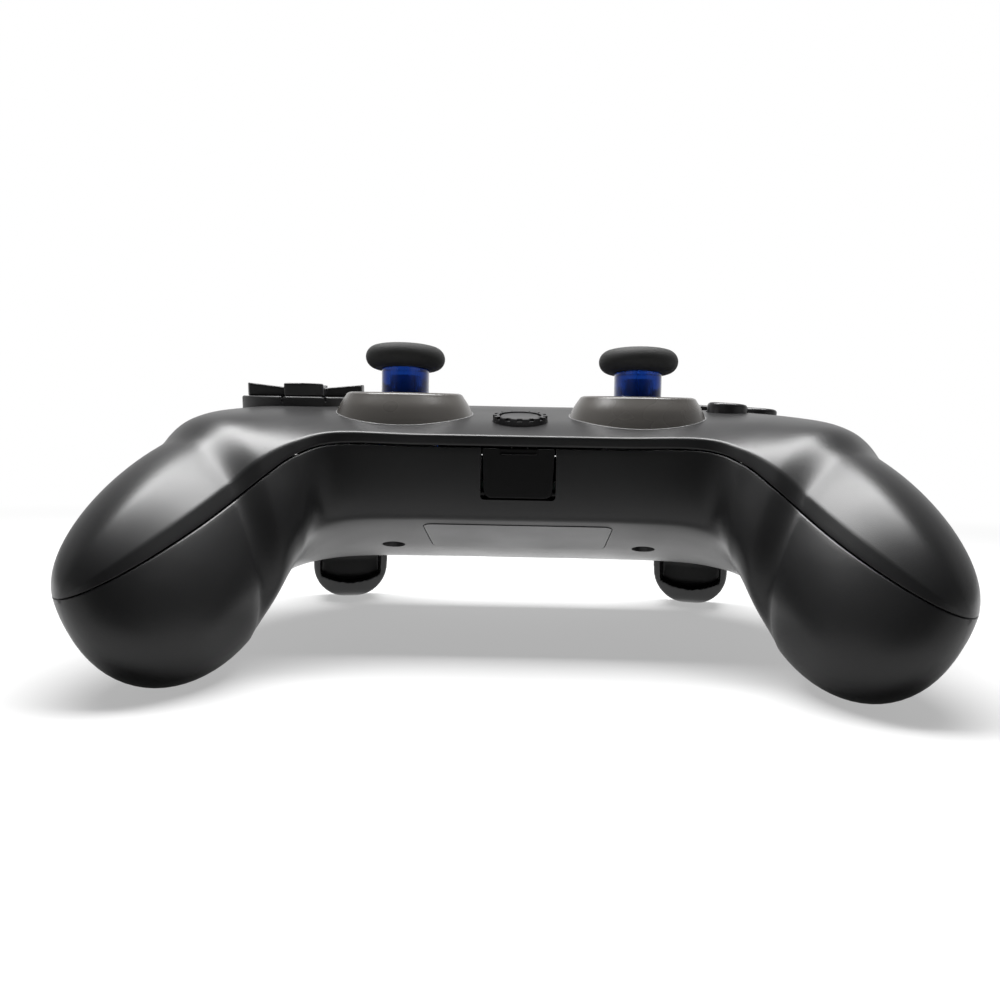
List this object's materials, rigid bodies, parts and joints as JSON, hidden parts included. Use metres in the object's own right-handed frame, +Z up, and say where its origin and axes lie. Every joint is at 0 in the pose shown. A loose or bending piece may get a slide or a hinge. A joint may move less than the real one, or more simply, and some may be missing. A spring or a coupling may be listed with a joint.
{
  "type": "gamepad controller",
  "caption": "Two-handed gamepad with tilting thumb sticks, rocking direction pad, push buttons, bumpers and sprung triggers in a two-shell housing with round grips.",
  "frame": {"origin": "centre of the footprint on the table, level with the lowest point of the pad", "axes": "+X to the user's right, +Y away from the user, +Z up; the pad lies on its grip ends and triggers"},
  "size_m": [0.169, 0.1161, 0.0702],
  "materials": {
    "shell": "satin black moulded plastic",
    "surround": "dark grey satin plastic",
    "dark_plastic": "black plastic",
    "button_plastic": "black plastic with a soft gloss",
    "stem_plastic": "see-through blue plastic, polished",
    "cap_rubber": "matt black rubber",
    "label_sheet": "bare dark grey label sheet",
    "board": "green circuit board",
    "mat_rubber": "grey silicone",
    "steel": "plain steel",
    "cell": "wrapped cell",
    "weight": "sintered weight"
  },
  "bodies": {
    "housing": {"top_shell": "shell", "bottom_shell": "shell", "left_stick_surround": "surround", "right_stick_surround": "surround", "dpad_disc": "dark_plastic", "home_ring": "dark_plastic", "label_plate": "label_sheet", "mid_frame": "dark_plastic", "main_board": "board", "dpad_board": "board", "face_board": "board", "battery": "cell", "left_stick_module": "steel", "right_stick_module": "steel", "left_rumble_motor": "steel", "right_rumble_motor": "steel", "dpad_mat": "mat_rubber", "face_mat": "mat_rubber", "push_switches": "dark_plastic", "headset_jack": "dark_plastic", "charge_socket": "steel", "case_screws": "steel", "left_trigger_pin": "steel", "right_trigger_pin": "steel", "left_trigger_spring": "steel", "right_trigger_spring": "steel"},
    "left_stick_bail": {"left_stick_bail": "steel"},
    "left_stick_shaft": {"left_stick_shaft": "dark_plastic"},
    "left_stick": {"left_stick_stem": "stem_plastic", "left_stick_cap": "cap_rubber"},
    "right_stick_bail": {"right_stick_bail": "steel"},
    "right_stick_shaft": {"right_stick_shaft": "dark_plastic"},
    "right_stick": {"right_stick_stem": "stem_plastic", "right_stick_cap": "cap_rubber"},
    "dpad_gimbal": {"dpad_gimbal": "steel"},
    "dpad": {"dpad_cross": "button_plastic"},
    "near_button": {"near_button": "button_plastic"},
    "right_button": {"right_button": "button_plastic"},
    "far_button": {"far_button": "button_plastic"},
    "left_button": {"left_button": "button_plastic"},
    "home_button": {"home_button": "button_plastic"},
    "left_menu_button": {"left_menu_button": "button_plastic"},
    "right_menu_button": {"right_menu_button": "button_plastic"},
    "left_bumper": {"left_bumper": "shell"},
    "left_trigger": {"left_trigger": "shell"},
    "left_rumble_weight": {"left_rumble_weight": "weight"},
    "right_bumper": {"right_bumper": "shell"},
    "right_trigger": {"right_trigger": "shell"},
    "right_rumble_weight": {"right_rumble_weight": "weight"},
    "port_cover": {"port_cover": "dark_plastic"}
  },
  "joints": [
    {"name": "left_stick_forward", "type": "hinge", "parent": "housing", "child": "left_stick_bail", "pos_m": [-0.02825, 0, 0.0478], "axis": [1, 0, 0], "range_deg": [-14.5, 14.5], "stiffness_Nm_per_rad": 0.04},
    {"name": "left_stick_sideways", "type": "hinge", "parent": "left_stick_bail", "child": "left_stick_shaft", "pos_m": [-0.02825, 0, 0.0478], "axis": [0, 1, 0], "range_deg": [-14.5, 14.5], "stiffness_Nm_per_rad": 0.04},
    {"name": "left_stick_click", "type": "slide", "parent": "left_stick_shaft", "child": "left_stick", "axis": [0, 0, -1], "range_m": [0, 0.0005], "stiffness_N_per_m": 4000},
    {"name": "right_stick_forward", "type": "hinge", "parent": "housing", "child": "right_stick_bail", "pos_m": [0.02825, 0, 0.0478], "axis": [1, 0, 0], "range_deg": [-14.5, 14.5], "stiffness_Nm_per_rad": 0.04},
    {"name": "right_stick_sideways", "type": "hinge", "parent": "right_stick_bail", "child": "right_stick_shaft", "pos_m": [0.02825, 0, 0.0478], "axis": [0, 1, 0], "range_deg": [-14.5, 14.5], "stiffness_Nm_per_rad": 0.04},
    {"name": "right_stick_click", "type": "slide", "parent": "right_stick_shaft", "child": "right_stick", "axis": [0, 0, -1], "range_m": [0, 0.0005], "stiffness_N_per_m": 4000},
    {"name": "dpad_rock_forward", "type": "hinge", "parent": "housing", "child": "dpad_gimbal", "pos_m": [-0.0582, 0.01963, 0.05403], "axis": [1, 0, 0], "range_deg": [-3, 3], "stiffness_Nm_per_rad": 0.4},
    {"name": "dpad_rock_sideways", "type": "hinge", "parent": "dpad_gimbal", "child": "dpad", "pos_m": [-0.0582, 0.01963, 0.05403], "axis": [0, 0.9945, 0.1045], "range_deg": [-3, 3], "stiffness_Nm_per_rad": 0.4},
    {"name": "near_button_press", "type": "slide", "parent": "housing", "child": "near_button", "axis": [-0.0696, 0.0698, -0.9951], "range_m": [0, 0.0015], "stiffness_N_per_m": 900},
    {"name": "right_button_press", "type": "slide", "parent": "housing", "child": "right_button", "axis": [-0.0696, 0.0698, -0.9951], "range_m": [0, 0.0015], "stiffness_N_per_m": 900},
    {"name": "far_button_press", "type": "slide", "parent": "housing", "child": "far_button", "axis": [-0.0696, 0.0698, -0.9951], "range_m": [0, 0.0015], "stiffness_N_per_m": 900},
    {"name": "left_button_press", "type": "slide", "parent": "housing", "child": "left_button", "axis": [-0.0696, 0.0698, -0.9951], "range_m": [0, 0.0015], "stiffness_N_per_m": 900},
    {"name": "home_button_press", "type": "slide", "parent": "housing", "child": "home_button", "axis": [0, 0.2419, -0.9703], "range_m": [0, 0.0006], "stiffness_N_per_m": 2000},
    {"name": "left_menu_press", "type": "slide", "parent": "housing", "child": "left_menu_button", "axis": [0, 0, -1], "range_m": [0, 0.0008], "stiffness_N_per_m": 1500},
    {"name": "right_menu_press", "type": "slide", "parent": "housing", "child": "right_menu_button", "axis": [0, 0, -1], "range_m": [0, 0.0008], "stiffness_N_per_m": 1500},
    {"name": "left_bumper_press", "type": "hinge", "parent": "housing", "child": "left_bumper", "pos_m": [-0.03964, 0.04306, 0.0492], "axis": [0, 0, 1], "range_deg": [0, 4], "stiffness_Nm_per_rad": 1},
    {"name": "left_trigger_pull", "type": "hinge", "parent": "housing", "child": "left_trigger", "pos_m": [-0.05105, 0.03933, 0.0365], "axis": [-0.9627, -0.2706, 0], "range_deg": [0, 18], "stiffness_Nm_per_rad": 0.12},
    {"name": "left_rumble_spin", "type": "hinge", "parent": "housing", "child": "left_rumble_weight", "pos_m": [-0.0695, -0.038, 0.02], "axis": [0, 1, 0], "continuous": true},
    {"name": "right_bumper_press", "type": "hinge", "parent": "housing", "child": "right_bumper", "pos_m": [0.03964, 0.04306, 0.0492], "axis": [0, 0, -1], "range_deg": [0, 4], "stiffness_Nm_per_rad": 1},
    {"name": "right_trigger_pull", "type": "hinge", "parent": "housing", "child": "right_trigger", "pos_m": [0.05105, 0.03933, 0.0365], "axis": [-0.9627, 0.2706, 0], "range_deg": [0, 18], "stiffness_Nm_per_rad": 0.12},
    {"name": "right_rumble_spin", "type": "hinge", "parent": "housing", "child": "right_rumble_weight", "pos_m": [0.0695, -0.038, 0.02], "axis": [0, 1, 0], "continuous": true},
    {"name": "port_cover_open", "type": "hinge", "parent": "housing", "child": "port_cover", "pos_m": [0, -0.0211, 0.0359], "axis": [1, 0, 0], "range_deg": [0, 100]}
  ]
}
